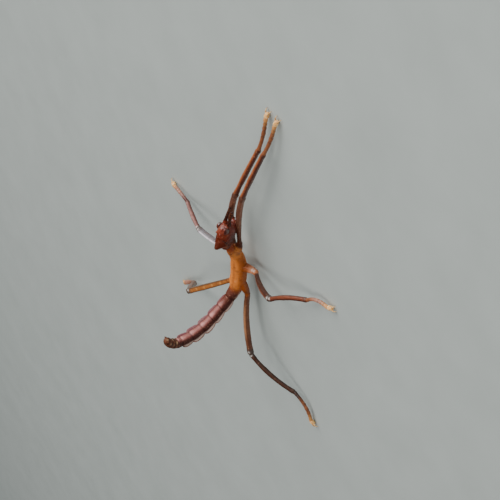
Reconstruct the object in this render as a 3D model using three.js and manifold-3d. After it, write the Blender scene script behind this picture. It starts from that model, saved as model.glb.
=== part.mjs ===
// A young giant prickly stick insect, 1:1, standing on six feet with its abdomen curled up over its back.
// Millimetres. +Z is up and the floor is z = 0. The insect faces +Y, and its right side is +X.
import * as THREE from 'three';
import { mergeVertices } from 'three/addons/utils/BufferGeometryUtils.js';
import Module from 'manifold-3d';

const wasm = await Module();
wasm.setup();

// ---------- Driving dimensions ----------

// Where the point on the floor below the middle legs' hips lies in the finished model,
// so that the origin is the middle of the box round the insect.
const HIPS_X = 0.37;
const HIPS_Y = -2.397;

const GAP = 0.03; // clear space between neighbouring pieces

// The centre line of neck, thorax and abdomen, as [forward, up] from the head to the tail.
const SPINE = [
  [3.4, 2.48], [2.75, 2.25], [2.1, 1.95], [1.4, 1.6], [0.7, 1.43], [0, 1.38],
  [-1.2, 1.38], [-2.0, 1.5], [-2.75, 1.68], [-3.35, 2.05], [-4.0, 2.68], [-4.6, 3.45],
  [-5.25, 4.27], [-5.75, 5.12], [-6.05, 6.07], [-6.15, 7.02], [-6.05, 7.87], [-5.6, 8.62], [-4.65, 9.22],
];

// The pieces of the trunk in order from the head, with the length of each along the spine.
const TRUNK = [
  { name: 'neck', length: 1.0 },
  { name: 'prothorax', length: 1.1 },
  { name: 'mesothorax', length: 1.9 },
  { name: 'metathorax', length: 2.3 },
  { name: 'abdomen_2', length: 1.25, lobe: 0.1 },
  { name: 'abdomen_3', length: 1.25, lobe: 0.24 },
  { name: 'abdomen_4', length: 1.25, lobe: 0.3 },
  { name: 'abdomen_5', length: 1.25, lobe: 0.34 },
  { name: 'abdomen_6', length: 1.25, lobe: 0.34 },
  { name: 'abdomen_7', length: 1.05, lobe: 0.3 },
  { name: 'abdomen_8', length: 0.55, lobe: 0.06 },
  { name: 'abdomen_9', length: 0.5, lobe: 0.04 },
  { name: 'abdomen_10', length: 0.8, lobe: 0, tip: true },
];

// A side lobe's outline along its segment, as [share of the length, share of the lobe's size].
const LOBE_OUTLINE = [[0, 0.1], [0.14, 0.7], [0.4, 0.92], [0.82, 1], [0.93, 0.75], [1, 0.15]];
const LOBE_FLATNESS = 0.42; // the part of the trunk's height that a lobe grows from
const LOBE_CORE = 0.48; // half width of the trunk between the lobes
const LEAST_LOBE = 0.08; // a smaller one is just a swelling

// How far the raised part of the abdomen is twisted, with its right side to the rear, in degrees.
const TAIL_TURN = 12;

// Half sizes of the trunk, as [distance from the head end, half width, height over, depth under].
const TRUNK_GIRTH = [
  [0, 0.42, 0.4, 0.4],
  [0.95, 0.44, 0.4, 0.4],
  [1.1, 0.54, 0.48, 0.5],
  [1.7, 0.62, 0.54, 0.58],
  [2.1, 0.6, 0.54, 0.58],
  [2.5, 0.64, 0.6, 0.62],
  [3.5, 0.79, 0.69, 0.7],
  [4.0, 0.79, 0.71, 0.73],
  [4.8, 0.77, 0.72, 0.73],
  [5.7, 0.81, 0.74, 0.74],
  [6.3, 0.64, 0.61, 0.63],
  [7.5, 0.52, 0.52, 0.54],
  [9.0, 0.5, 0.48, 0.5],
  [12.5, 0.47, 0.45, 0.47],
  [13.6, 0.44, 0.42, 0.44],
  [14.2, 0.5, 0.42, 0.46],
  [14.7, 0.48, 0.4, 0.44],
  [16, 0.4, 0.34, 0.36],
];

// The head, seen from its side: a line from the back of the skull to the mouth, as [forward, up].
const SKULL_BACK = [2.88, 2.78];
const SKULL_FRONT = [5.82, 2.2];
const HEAD_TURN = THREE.MathUtils.degToRad(3); // to the insect's left
const HEAD_PIVOT = [0, 3, 0];

// Half sizes of the skull, as [distance from its back, half width, height over, depth under].
const SKULL_GIRTH = [
  [0, 0.26, 0.2, 0.3],
  [0.15, 0.34, 0.3, 0.4],
  [0.5, 0.46, 0.5, 0.6],
  [1.0, 0.6, 0.78, 0.78],
  [1.6, 0.66, 0.93, 0.86],
  [2.1, 0.66, 0.92, 0.82],
  [2.4, 0.6, 0.78, 0.74],
  [2.65, 0.48, 0.52, 0.64],
];
const SKULL_END = 2.65;
const MOUTH = { from: -0.42, to: -0.56, end: 2.98, halfWidth: 0.38, over: 0.2, under: 0.24 };

const CROWN = { foot: [0.98, 0.3], tip: [0.26, 1.02], footRadius: 0.74, tipRadius: 0.1 };
const BROW = { along: 2.0, up: 0.76, out: 0.26, reach: 0.24, radius: 0.16 };
const EYE = { along: 2.32, up: 0.46, out: 0.43, radii: [0.25, 0.31, 0.29] };
const ANTENNA = {
  along: 2.5, up: 0.12, out: 0.29, length: 2.45, radius: 0.25, beads: 6, heading: 17, rise: { right: 0, left: -0.1 },
};
const PALP = { out: 0.16, length: 0.34, radius: 0.13 };

// Leg sizes by pair. A length runs from joint to joint, and a radius is half a thickness.
// `waist` is how thick the femur is near the body, as a share of its full thickness.
const PAIRS = {
  fore: { femur: 6.35, tibia: 6.05, tarsus: 3.25, femurRadius: 0.28, waist: 0.86, tibiaRadius: 0.27 },
  middle: { femur: 3.8, tibia: 4.2, tarsus: 2.4, femurRadius: 0.28, waist: 0.98, tibiaRadius: 0.26 },
  hind: { femur: 6.5, tibia: 5.2, tarsus: 3.0, femurRadius: 0.3, waist: 0.98, tibiaRadius: 0.26 },
};
const COXA_RADIUS = 0.3;
const COXA_BEND = 0.4; // how far before its end the coxa turns into the femur's line
const TARSUS_RADIUS = 0.25;
const TARSUS_END_HEIGHT = 0.33;
const FOOT = { length: 0.6, width: 0.3, toeHeight: 0.16 };
const CLAW = { length: 0.42, radius: 0.1, spread: 0.2 };

// Each leg's pose. `hip` is inside the body and `thigh` is where the femur starts. Headings are
// compass degrees: 0 is forward and 90 is to the insect's right. Each bow is the most that
// the femur, tibia (shin) or tarsus (toe) bends out of its straight line, to the right and up.
// `stout` is how many times thicker than the others the hind left tibia and tarsus are.
const LEGS = [
  {
    name: 'fore_right', pair: 'fore', hip: [0.3, 2.25, 1.75], thigh: [0.4, 3.0, 1.43],
    headings: [6.8, 17.9, 11.9], knee: 1.6, ankle: 0.88,
    bow: [-0.36, 0.02], shinBow: [0, 0.05], toeBow: [0.12, 0],
  },
  {
    name: 'fore_left', pair: 'fore', hip: [-0.3, 2.25, 1.8], thigh: [-0.76, 2.95, 1.5],
    headings: [10.7, 17.7, 5.1], knee: 1.76, ankle: 0.8,
    bow: [-0.35, 0.02], shinBow: [0, 0.05], toeBow: [0.12, 0],
  },
  {
    name: 'middle_right', pair: 'middle', hip: [0.4, -0.1, 1.2], thigh: [1.85, 0.17, 0.83],
    headings: [78.1, 56.2, 66.4], knee: 1.96, ankle: 0.7,
    bow: [0.1, 0.2], shinBow: [-0.22, 0.05], toeBow: [-0.36, 0.02],
  },
  {
    name: 'middle_left', pair: 'middle', hip: [-0.4, 0.25, 1.4], thigh: [-1.65, 0.13, 1.2],
    headings: [-90.8, -100.3, -90.4], knee: 1.88, ankle: 0.5,
    bow: [0, 0.08], shinBow: [0, 0.05], toeBow: [0.1, 0.02],
  },
  {
    name: 'hind_right', pair: 'hind', hip: [0.42, -2.1, 1.4], thigh: [0.92, -3.35, 1.12],
    headings: [166.3, 106.9, 134], knee: 1.9, ankle: 0.6,
    bow: [0.37, 0.05], shinBow: [0.12, 0.22], toeBow: [-0.62, 0.02],
  },
  {
    name: 'hind_left', pair: 'hind', hip: [-0.42, -2.1, 1.5], thigh: [-1.35, -3.4, 1.28],
    headings: [-135.5, -138.6, -135], knee: 3.05, ankle: 0.62, stout: 1.3,
    bow: [0, 0.1], shinBow: [0, 0.05], toeBow: [0.1, 0.02],
  },
];

const COLOURS = {
  skull: 0x5a2216, mouth: 0x7a3020, eye: 0x2c0f16, antenna: 0x8c4a28, neck: 0x74301a,
  thorax: 0xac6120, abdomen: 0x7c4034, tail: 0x5c3020, coxa: 0xa45a28, femur: 0x7a3a1e,
  paleFemur: 0xb4763a, tibia: 0x63301f, darkTibia: 0x43291f, tarsus: 0xa25e34, foot: 0xe8cf92,
};

// ---------- Making solids ----------

const up = new THREE.Vector3(0, 0, 1);

/** A point from [forward, up] on the insect's middle plane. */
function middle([forward, height], out = 0) {
  return new THREE.Vector3(out, forward, height);
}

/** The level direction of a compass heading in degrees. */
function headingOf(degrees) {
  const angle = THREE.MathUtils.degToRad(degrees);
  return new THREE.Vector3(Math.sin(angle), Math.cos(angle), 0);
}

/** 1 for the insect's right side and -1 for its left. */
function sideOf(name) {
  return name === 'right' ? 1 : -1;
}

/** The values of a table of rows at a place between its rows; each row starts with its own place. */
function between(table, place) {
  const next = table.findIndex(([start]) => start > place);
  if (next === -1) return table.at(-1).slice(1);
  const [from, to] = [table[Math.max(0, next - 1)], table[Math.max(1, next)]];
  const share = THREE.MathUtils.clamp((place - from[0]) / (to[0] - from[0]), 0, 1);
  return from.slice(1).map((value, index) => THREE.MathUtils.lerp(value, to[index + 1], share));
}

/** Joins the corners that triangles share and drops the triangles that this leaves with no area. */
function weld(geometry) {
  geometry.deleteAttribute('normal');
  geometry.deleteAttribute('uv');
  const welded = mergeVertices(geometry, 1e-5);
  const corners = welded.index.array;
  const kept = [];
  for (let i = 0; i < corners.length; i += 3) {
    const [a, b, c] = corners.slice(i, i + 3);
    if (a !== b && b !== c && c !== a) kept.push(a, b, c);
  }
  welded.setIndex(kept);
  return welded;
}

/**
 * A closed solid strung along a curve. Each ring is [place from 0 to 1, size from 0 to 1], and
 * `girth(place)` gives its half width, height over and depth under the curve at size 1.
 * `right` is the width's direction. `relief(place, angle)` raises or lowers the surface, and
 * `faces` gives the directions that its flat first and last faces look along.
 */
function strung({ curve, right, rings, sides, girth, relief = () => 1, faces = [] }) {
  const [first, last] = [rings[0], rings.at(-1)];
  const profile = [[first[0], 0], ...rings, [last[0], 0]].map(([place, size]) => new THREE.Vector2(size, place));
  const geometry = new THREE.LatheGeometry(profile, sides);
  const corners = geometry.getAttribute('position');
  const corner = new THREE.Vector3();
  for (let i = 0; i < corners.count; i += 1) {
    corner.fromBufferAttribute(corners, i);
    const place = THREE.MathUtils.clamp(corner.y, 0, 1);
    const along = curve.getTangentAt(place);
    const across = right.clone().addScaledVector(along, -right.dot(along)).normalize();
    const over = across.clone().cross(along);
    const [halfWidth, height, depth] = girth(place);
    const raised = relief(place, Math.atan2(corner.x, corner.z));
    const offset = across.multiplyScalar(corner.x * halfWidth * raised);
    offset.addScaledVector(over, corner.z * raised * (corner.z > 0 ? height : depth));
    const face = place === first[0] ? faces[0] : place === last[0] && faces[1];
    if (face) offset.addScaledVector(along, -offset.dot(face) / along.dot(face));
    corner.copy(curve.getPointAt(place)).add(offset);
    corners.setXYZ(i, corner.x, corner.y, corner.z);
  }
  return weld(geometry);
}

/** Rings for a solid with a blunt round end after `shoulder`, the last even ring. */
function roundEnd(rings, shoulder, steps) {
  const round = Array.from({ length: steps }, (_, step) => {
    const turn = ((step + 1) / (steps + 1)) * (Math.PI / 2);
    return [shoulder + (1 - shoulder) * Math.sin(turn), Math.cos(turn)];
  });
  return [...rings, [shoulder, 1], ...round, [1, 0.05]];
}

function toSolid(geometry) {
  const vertProperties = new Float32Array(geometry.getAttribute('position').array);
  const triVerts = new Uint32Array(geometry.index.array);
  return new wasm.Manifold(new wasm.Mesh({ numProp: 3, vertProperties, triVerts }));
}

function toGeometry(solid) {
  const mesh = solid.getMesh();
  const geometry = new THREE.BufferGeometry();
  geometry.setAttribute('position', new THREE.BufferAttribute(mesh.vertProperties, 3));
  geometry.setIndex(new THREE.BufferAttribute(mesh.triVerts, 1));
  return geometry;
}

function join(...pieces) {
  return toGeometry(pieces.map(toSolid).reduce((whole, piece) => whole.add(piece)));
}

function cutAway(piece, ...tools) {
  return toGeometry(tools.map(toSolid).reduce((rest, tool) => rest.subtract(tool), toSolid(piece)));
}

/** An egg shape with its own half sizes along three directions. */
function egg(centre, radii, directions, grow = 0) {
  const geometry = weld(new THREE.SphereGeometry(1, 12, 9));
  const [a, b, c] = directions.map((direction, axis) => direction.clone().multiplyScalar(radii[axis] + grow));
  const placing = new THREE.Matrix4().makeBasis(a, b, c).setPosition(centre);
  return geometry.applyMatrix4(placing);
}

// ---------- Trunk ----------

const spine = new THREE.CatmullRomCurve3(SPINE.map((point) => middle(point)), false, 'centripetal');
const spineLength = spine.getLength();
const leftward = new THREE.Vector3(-1, 0, 0);
const tailLeftward = headingOf(-90 + TAIL_TURN);

function trunkPiece({ name, start, length, lobe = 0, tip = false }, grow = 0) {
  const [from, to] = [(start + GAP / 2 - grow) / spineLength, (start + length - GAP / 2 + grow) / spineLength];
  const shares = lobe > LEAST_LOBE ? [0, 0.14, 0.45, 0.82, 0.93, 1] : [0, 0.12, 0.5, 0.88, 1];
  const even = shares.map((share) => [THREE.MathUtils.lerp(from, Math.min(1, to), share), 1]);
  const domed = [[0, 1], [0.3, 0.98], [0.6, 0.86], [0.82, 0.62], [0.96, 0.3]];
  const rounded = domed.map(([share, size]) => [THREE.MathUtils.lerp(from, 1, share), size]);
  return strung({
    curve: spine,
    right: name.startsWith('abdomen') ? tailLeftward : leftward,
    rings: tip ? rounded : even,
    sides: 16,
    girth: (place) => between(TRUNK_GIRTH, place * spineLength).map((half) => half + grow),
    relief: (place, angle) => {
      const share = THREE.MathUtils.clamp((place * spineLength - start) / length, 0, 1);
      const side = Math.exp(-((Math.cos(angle) / LOBE_FLATNESS) ** 2));
      return 1 + (lobe / LOBE_CORE) * between(LOBE_OUTLINE, share)[0] * side;
    },
  });
}

const trunk = [];
for (const piece of TRUNK) {
  const before = trunk.at(-1);
  trunk.push({ ...piece, start: before ? before.start + before.length : 0 });
}
const trunkSpec = (name) => trunk.find((piece) => piece.name === name);

// ---------- Head ----------

const skullLine = new THREE.LineCurve3(middle(SKULL_BACK), middle(SKULL_FRONT));
const skullLength = skullLine.getLength();
const skullAlong = skullLine.getTangent(0);
const rightward = new THREE.Vector3(1, 0, 0);
const skullOver = rightward.clone().cross(skullAlong);

/** A point of the head from its distance along the skull, height over it and place to the right. */
function headPoint(along, height, out = 0) {
  const point = middle(SKULL_BACK, out);
  return point.addScaledVector(skullAlong, along).addScaledVector(skullOver, height);
}

/** Turns a piece made on the middle plane to where the head looks. */
function turned(geometry) {
  const pivot = new THREE.Vector3(...HEAD_PIVOT);
  geometry.translate(-pivot.x, -pivot.y, -pivot.z);
  geometry.rotateZ(HEAD_TURN);
  return geometry.translate(pivot.x, pivot.y, pivot.z);
}

function skullGirth(grow) {
  return (place) => between(SKULL_GIRTH, place * skullLength).map((half) => half + grow);
}

function braincase(grow) {
  const even = [0.12, 0.3, 0.6, 1.0, 1.5, 2.0, 2.3, 2.5].map((distance) => [distance, 1]);
  const rings = [[0, 0.75], ...even, [SKULL_END - GAP / 2 + grow, 1]];
  return strung({
    curve: skullLine,
    right: rightward,
    rings: rings.map(([distance, size]) => [distance / skullLength, size]),
    sides: 18,
    girth: skullGirth(grow),
  });
}

function crownCone(grow) {
  const curve = new THREE.LineCurve3(headPoint(...CROWN.foot), headPoint(...CROWN.tip));
  const radiusAt = (place) => THREE.MathUtils.lerp(CROWN.footRadius, CROWN.tipRadius, place) + grow;
  return strung({
    curve,
    right: rightward,
    rings: [[0, 1], [0.35, 0.98], [0.7, 0.94], [0.93, 1], [1, 0.6]],
    sides: 12,
    girth: (place) => [radiusAt(place), radiusAt(place), radiusAt(place)],
  });
}

function browTubercle(side) {
  const foot = headPoint(BROW.along, BROW.up, side * BROW.out * 0.8);
  const tip = headPoint(BROW.along - 0.12, BROW.up + BROW.reach, side * BROW.out);
  return strung({
    curve: new THREE.LineCurve3(foot, tip),
    right: rightward,
    rings: [[0, 1], [0.5, 0.8], [0.85, 0.5], [1, 0.22]],
    sides: 8,
    girth: () => [BROW.radius, BROW.radius, BROW.radius],
  });
}

function eye(side, grow = 0) {
  const centre = headPoint(EYE.along, EYE.up, side * EYE.out);
  return egg(centre, EYE.radii, [rightward, skullAlong, skullOver], grow);
}

function skull(grow = 0) {
  const brows = [browTubercle(1), browTubercle(-1)];
  return join(braincase(grow), crownCone(grow), ...brows);
}

function antenna(name) {
  const foot = headPoint(ANTENNA.along, ANTENNA.up, sideOf(name) * ANTENNA.out);
  const direction = headingOf(ANTENNA.heading).addScaledVector(up, ANTENNA.rise[name]).normalize();
  const droop = foot.clone().addScaledVector(direction, ANTENNA.length * 0.5).addScaledVector(up, 0.05);
  const tip = foot.clone().addScaledVector(direction, ANTENNA.length);
  const beads = [[0, 1]];
  for (let bead = 1; bead < ANTENNA.beads; bead += 1) {
    beads.push([(bead - 0.25) / ANTENNA.beads, 1], [bead / ANTENNA.beads, 0.86]);
  }
  return strung({
    curve: new THREE.QuadraticBezierCurve3(foot, droop, tip),
    right: rightward,
    rings: roundEnd(beads, 0.94, 1),
    sides: 8,
    girth: () => [ANTENNA.radius, ANTENNA.radius, ANTENNA.radius],
  });
}

function palp(side) {
  const foot = headPoint(SKULL_END + 0.16, MOUTH.from - 0.1, side * PALP.out * 0.8);
  const tip = headPoint(SKULL_END + 0.3, MOUTH.from - 0.1 - PALP.length, side * PALP.out);
  return strung({
    curve: new THREE.LineCurve3(foot, tip),
    right: rightward,
    rings: roundEnd([[0, 0.9]], 0.8, 1),
    sides: 8,
    girth: () => [PALP.radius, PALP.radius, PALP.radius],
  });
}

function mouth() {
  const root = headPoint(SKULL_END + GAP / 2, MOUTH.from);
  const lips = strung({
    curve: new THREE.LineCurve3(root, headPoint(MOUTH.end, MOUTH.to)),
    right: rightward,
    rings: [[0, 1], [0.35, 0.95], [0.65, 0.8], [0.88, 0.54], [1, 0.25]],
    sides: 12,
    girth: () => [MOUTH.halfWidth, MOUTH.over, MOUTH.under],
    faces: [skullAlong],
  });
  return join(lips, palp(1), palp(-1));
}

// ---------- Legs ----------

/** A slightly bowed curve from one joint to the next. */
function bowed(from, to, right, [sideways, upward]) {
  const control = from.clone().lerp(to, 0.5);
  control.addScaledVector(right, 2 * sideways).addScaledVector(up, 2 * upward);
  return new THREE.QuadraticBezierCurve3(from, control, to);
}

/** The next joint: `length` away on a compass heading, ending at `height`. */
function step(from, length, heading, height) {
  const rise = height - from.z;
  const level = Math.sqrt(length ** 2 - rise ** 2);
  const to = from.clone().addScaledVector(headingOf(heading), level);
  return to.setZ(height);
}

/** All the joints of a leg, the faces where its pieces meet and each piece's width direction. */
function layOut(leg) {
  const sizes = PAIRS[leg.pair];
  const thigh = new THREE.Vector3(...leg.thigh);
  const knee = step(thigh, sizes.femur, leg.headings[0], leg.knee);
  const ankle = step(knee, sizes.tibia, leg.headings[1], leg.ankle);
  const toe = step(ankle, sizes.tarsus, leg.headings[2], TARSUS_END_HEIGHT);
  const sole = step(toe, FOOT.length, leg.headings[2], FOOT.toeHeight);
  const joints = [new THREE.Vector3(...leg.hip), thigh, knee, ankle, toe, sole];
  const chords = joints.slice(1).map((joint, index) => joint.clone().sub(joints[index]).normalize());
  const faces = chords.slice(1).map((chord, index) => chord.clone().add(chords[index]).normalize());
  faces[0] = chords[1].clone();
  const rights = leg.headings.map((heading) => headingOf(heading + 90));
  return { sizes, joints, chords, faces, rights };
}

/** A limb piece between two joints, kept half a gap clear of each. */
function limb({ from, to, chord, right, bow, rings, sides, radius, faces }) {
  const start = from.clone().addScaledVector(chord, GAP / 2);
  const end = to.clone().addScaledVector(chord, -GAP / 2);
  return strung({
    curve: bowed(start, end, right, bow),
    right,
    rings,
    sides,
    girth: () => [radius, radius, radius],
    faces,
  });
}

function femur(leg, { sizes, joints, chords, faces, rights }) {
  return limb({
    from: joints[1], to: joints[2], chord: chords[1], right: rights[0], bow: leg.bow,
    rings: [[0, 0.84], [0.08, 0.86], [0.3, sizes.waist], [0.6, 1], [0.88, 1], [0.94, 1.1], [1, 1]],
    sides: 10, radius: sizes.femurRadius, faces: [faces[0], faces[1]],
  });
}

function tibia(leg, { sizes, joints, chords, faces, rights }) {
  return limb({
    from: joints[2], to: joints[3], chord: chords[2], right: rights[1], bow: leg.shinBow,
    rings: [[0, 1], [0.08, 0.96], [0.5, 0.95], [0.92, 1], [1, 0.98]],
    sides: 10, radius: sizes.tibiaRadius * (leg.stout ?? 1), faces: [faces[1], faces[2]],
  });
}

function tarsus(leg, { joints, chords, faces, rights }) {
  const beads = [0.45, 0.65, 0.82].flatMap((place) => [[place - 0.05, 1], [place, 0.9]]);
  return limb({
    from: joints[3], to: joints[4], chord: chords[3], right: rights[2], bow: leg.toeBow,
    rings: [[0, 1], [0.1, 0.96], ...beads, [1, 1]],
    sides: 8, radius: TARSUS_RADIUS * (leg.stout ?? 1), faces: [faces[2], faces[3]],
  });
}

/** The hip joint and trochanter, bent from the body's side into the femur's line. */
function coxa({ joints, chords, rights }, bodyPieces) {
  const end = joints[1].clone().addScaledVector(chords[1], -GAP / 2);
  const bend = end.clone().addScaledVector(chords[1], -COXA_BEND);
  const whole = strung({
    curve: new THREE.QuadraticBezierCurve3(joints[0], bend, end),
    right: rights[0],
    rings: [[0, 1.6], [0.3, 1.5], [0.55, 1.25], [0.75, 1], [1, 0.84]],
    sides: 10,
    girth: () => [COXA_RADIUS, COXA_RADIUS, COXA_RADIUS],
    faces: [null, chords[1]],
  });
  return cutAway(whole, ...bodyPieces);
}

/** One hooked claw of a foot, which curves outward and down to the floor. */
function claw(toe, heading, side) {
  const ahead = headingOf(heading);
  const out = headingOf(heading + 90 * side);
  const root = toe.clone().addScaledVector(ahead, FOOT.length * 0.55).addScaledVector(out, CLAW.spread * 0.6);
  root.setZ(FOOT.toeHeight + 0.08);
  const bend = root.clone().addScaledVector(ahead, CLAW.length * 0.8).addScaledVector(out, CLAW.spread * 0.5);
  const tip = bend.clone().addScaledVector(ahead, CLAW.length * 0.2).addScaledVector(out, CLAW.spread * 0.3);
  bend.setZ(FOOT.toeHeight + 0.16);
  tip.setZ(CLAW.radius * 0.6);
  return strung({
    curve: new THREE.QuadraticBezierCurve3(root, bend, tip),
    right: out,
    rings: [[0, 1], [0.5, 0.8], [1, 0.3]],
    sides: 5,
    girth: () => [CLAW.radius, CLAW.radius, CLAW.radius],
  });
}

/** A foot pad that rests flat on the floor, with its two claws. */
function foot(leg, { joints, chords, faces, rights }) {
  const pad = limb({
    from: joints[4], to: joints[5], chord: chords[4], right: rights[2], bow: [0, 0],
    rings: roundEnd([[0, 0.9], [0.25, 1]], 0.6, 2), sides: 10, radius: FOOT.width, faces: [faces[3]],
  });
  const heading = leg.headings[2];
  const whole = join(pad, claw(joints[4], heading, 1), claw(joints[4], heading, -1));
  return restOnFloor(whole);
}

/** Cuts off what reaches below the floor, which leaves a flat sole. */
function restOnFloor(geometry) {
  const below = new THREE.BoxGeometry(100, 100, 10).translate(0, 0, -5);
  return cutAway(geometry, weld(below));
}

// ---------- Putting the insect together ----------

const insect = new THREE.Group();

function add(name, geometry, colour, roughness = 0.4) {
  geometry.translate(HIPS_X, HIPS_Y, 0);
  const material = new THREE.MeshStandardMaterial({ color: colour, roughness, metalness: 0 });
  const mesh = new THREE.Mesh(geometry, material);
  mesh.name = name;
  insect.add(mesh);
}

function trunkColour(name) {
  if (name === 'neck' || name === 'prothorax') return COLOURS.neck;
  if (name.includes('thorax')) return COLOURS.thorax;
  return ['abdomen_8', 'abdomen_9', 'abdomen_10'].includes(name) ? COLOURS.tail : COLOURS.abdomen;
}

const eyes = { right: turned(eye(1)), left: turned(eye(-1)) };
const sockets = [turned(eye(1, GAP)), turned(eye(-1, GAP))];
const grownSkull = turned(skull(GAP));

add('head', cutAway(turned(skull()), ...sockets), COLOURS.skull, 0.3);
add('mouth', turned(mouth()), COLOURS.mouth, 0.35);
for (const side of ['right', 'left']) {
  add(`eye_${side}`, eyes[side], COLOURS.eye, 0.12);
  const feeler = turned(antenna(side));
  add(`antenna_${side}`, cutAway(feeler, grownSkull, turned(mouth()), ...sockets), COLOURS.antenna, 0.45);
}

for (const piece of trunk) {
  const whole = trunkPiece(piece);
  add(piece.name, piece.name === 'neck' ? cutAway(whole, grownSkull) : whole, trunkColour(piece.name));
}

const BODY_AT_HIP = {
  fore: ['neck', 'prothorax', 'mesothorax'],
  middle: ['mesothorax', 'metathorax'],
  hind: ['metathorax', 'abdomen_2'],
};

for (const leg of LEGS) {
  const layout = layOut(leg);
  const body = BODY_AT_HIP[leg.pair].map((name) => trunkPiece(trunkSpec(name), GAP));
  const pale = leg.name === 'hind_left';
  add(`coxa_${leg.name}`, coxa(layout, body), COLOURS.coxa);
  add(`femur_${leg.name}`, femur(leg, layout), pale ? COLOURS.paleFemur : COLOURS.femur);
  add(`tibia_${leg.name}`, tibia(leg, layout), leg.pair === 'hind' ? COLOURS.darkTibia : COLOURS.tibia);
  add(`tarsus_${leg.name}`, tarsus(leg, layout), COLOURS.tarsus);
  add(`foot_${leg.name}`, foot(leg, layout), COLOURS.foot, 0.5);
}

export default insect;
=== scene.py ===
"""A newly hatched giant prickly stick insect at its real size: its skin, eyes and feet over the
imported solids, on a plain pale floor in soft light. Sizes are in millimetres unless a name says
metres, and the insect faces +Y with its right side at +X."""

import math

import bpy
import numpy as np
from mathutils import Matrix, Vector, noise


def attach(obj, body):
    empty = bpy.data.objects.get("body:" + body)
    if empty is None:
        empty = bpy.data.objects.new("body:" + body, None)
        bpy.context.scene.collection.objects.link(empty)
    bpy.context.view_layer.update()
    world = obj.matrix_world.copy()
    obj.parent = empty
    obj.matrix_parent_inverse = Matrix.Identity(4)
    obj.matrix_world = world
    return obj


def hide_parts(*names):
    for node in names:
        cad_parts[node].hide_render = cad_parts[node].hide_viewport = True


METRES = 0.001  # metres in a millimetre

# ---------- Lines and places as in the solids, and girths that lie inside them ----------

HIPS = np.array([0.37, -2.397, 0.0])  # the place on the floor below the middle legs' hips
UP = np.array([0.0, 0.0, 1.0])
RIGHT = np.array([1.0, 0.0, 0.0])
LEFT = -RIGHT

# The centre line of neck, thorax and abdomen, as (forward, up).
SPINE = (
    (3.4, 2.48), (2.75, 2.25), (2.1, 1.95), (1.4, 1.6), (0.7, 1.43), (0, 1.38),
    (-1.2, 1.38), (-2.0, 1.5), (-2.75, 1.68), (-3.35, 2.05), (-4.0, 2.68), (-4.6, 3.45),
    (-5.25, 4.27), (-5.75, 5.12), (-6.05, 6.07), (-6.15, 7.02), (-6.05, 7.87), (-5.6, 8.62), (-4.65, 9.22),
)
THORAX_ENDS = (1.0, 2.1, 4.0, 6.3)  # distances along the spine where the thorax's plates meet
SEGMENTS = (  # abdomen segments: length along the spine, and how far the side lobes stand out
    (1.25, 0.1), (1.25, 0.24), (1.25, 0.3), (1.25, 0.34), (1.25, 0.34), (1.05, 0.3),
    (0.55, 0.06), (0.5, 0.04), (0.8, 0.0),
)
# Half sizes of the trunk: distance along the spine, half width, height over, depth under.
TRUNK_GIRTH = (
    (0, 0.4, 0.38, 0.38), (0.95, 0.42, 0.38, 0.38), (1.1, 0.52, 0.46, 0.48), (1.7, 0.6, 0.52, 0.56),
    (2.1, 0.58, 0.52, 0.56), (2.5, 0.62, 0.58, 0.6), (3.5, 0.77, 0.67, 0.68), (4.0, 0.77, 0.69, 0.71),
    (4.8, 0.75, 0.7, 0.71), (5.7, 0.79, 0.72, 0.72), (6.3, 0.62, 0.59, 0.61), (7.5, 0.5, 0.47, 0.52),
    (9.0, 0.48, 0.43, 0.48), (12.5, 0.45, 0.4, 0.45), (13.6, 0.42, 0.38, 0.42), (14.2, 0.48, 0.4, 0.44),
    (14.7, 0.46, 0.38, 0.42), (16, 0.38, 0.32, 0.34),
)
TAIL_TURN = 12  # how many degrees the abdomen is twisted, with its right side to the rear

SKULL_BACK = np.array([0, 2.88, 2.78])
SKULL_FRONT = np.array([0, 5.82, 2.2])
HEAD_TURN = math.radians(3)  # to the insect's left
HEAD_PIVOT = np.array([0, 3.0, 0])
SKULL_GIRTH = (  # in the same order as the trunk's, from the back of the skull
    (0, 0.24, 0.18, 0.28), (0.15, 0.32, 0.28, 0.38), (0.5, 0.44, 0.48, 0.58), (1.0, 0.58, 0.76, 0.76),
    (1.6, 0.64, 0.91, 0.84), (2.1, 0.64, 0.9, 0.8), (2.4, 0.58, 0.76, 0.72), (2.65, 0.46, 0.5, 0.62),
)
SKULL_END = 2.65
CROWN = {"foot": (0.98, 0.3), "tip": (0.26, 1.005), "radii": (0.72, 0.09)}
EYE = {"along": 2.32, "up": 0.46, "out": 0.43, "radii": (0.25, 0.31, 0.29)}
MOUTH = {"from": -0.42, "to": -0.56, "end": 2.98, "half_width": 0.38, "over": 0.2, "under": 0.24}
ANTENNA = {"along": 2.5, "up": 0.12, "out": 0.29, "length": 2.45, "heading": 17, "rise": {1: 0, -1: -0.1}}

# Leg sizes by pair. `base` is how thick the femur is next to the body, as a share of its radius.
# These radii are the living insect's, which are less than the solids'.
PAIRS = {
    "fore": {"femur": 6.35, "tibia": 6.05, "tarsus": 3.25,
             "femur_radius": 0.26, "base": 0.72, "tibia_radius": 0.225},
    "middle": {"femur": 3.8, "tibia": 4.2, "tarsus": 2.4,
               "femur_radius": 0.26, "base": 0.75, "tibia_radius": 0.22},
    "hind": {"femur": 6.5, "tibia": 5.2, "tarsus": 3.0,
             "femur_radius": 0.28, "base": 0.85, "tibia_radius": 0.22},
}
COXA_RADIUS = 0.28
COXA_BEND = 0.4
TARSUS_RADIUS = 0.165
TARSUS_END_HEIGHT = 0.33
FOOT = {"length": 0.6, "toe_height": 0.16}

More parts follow.
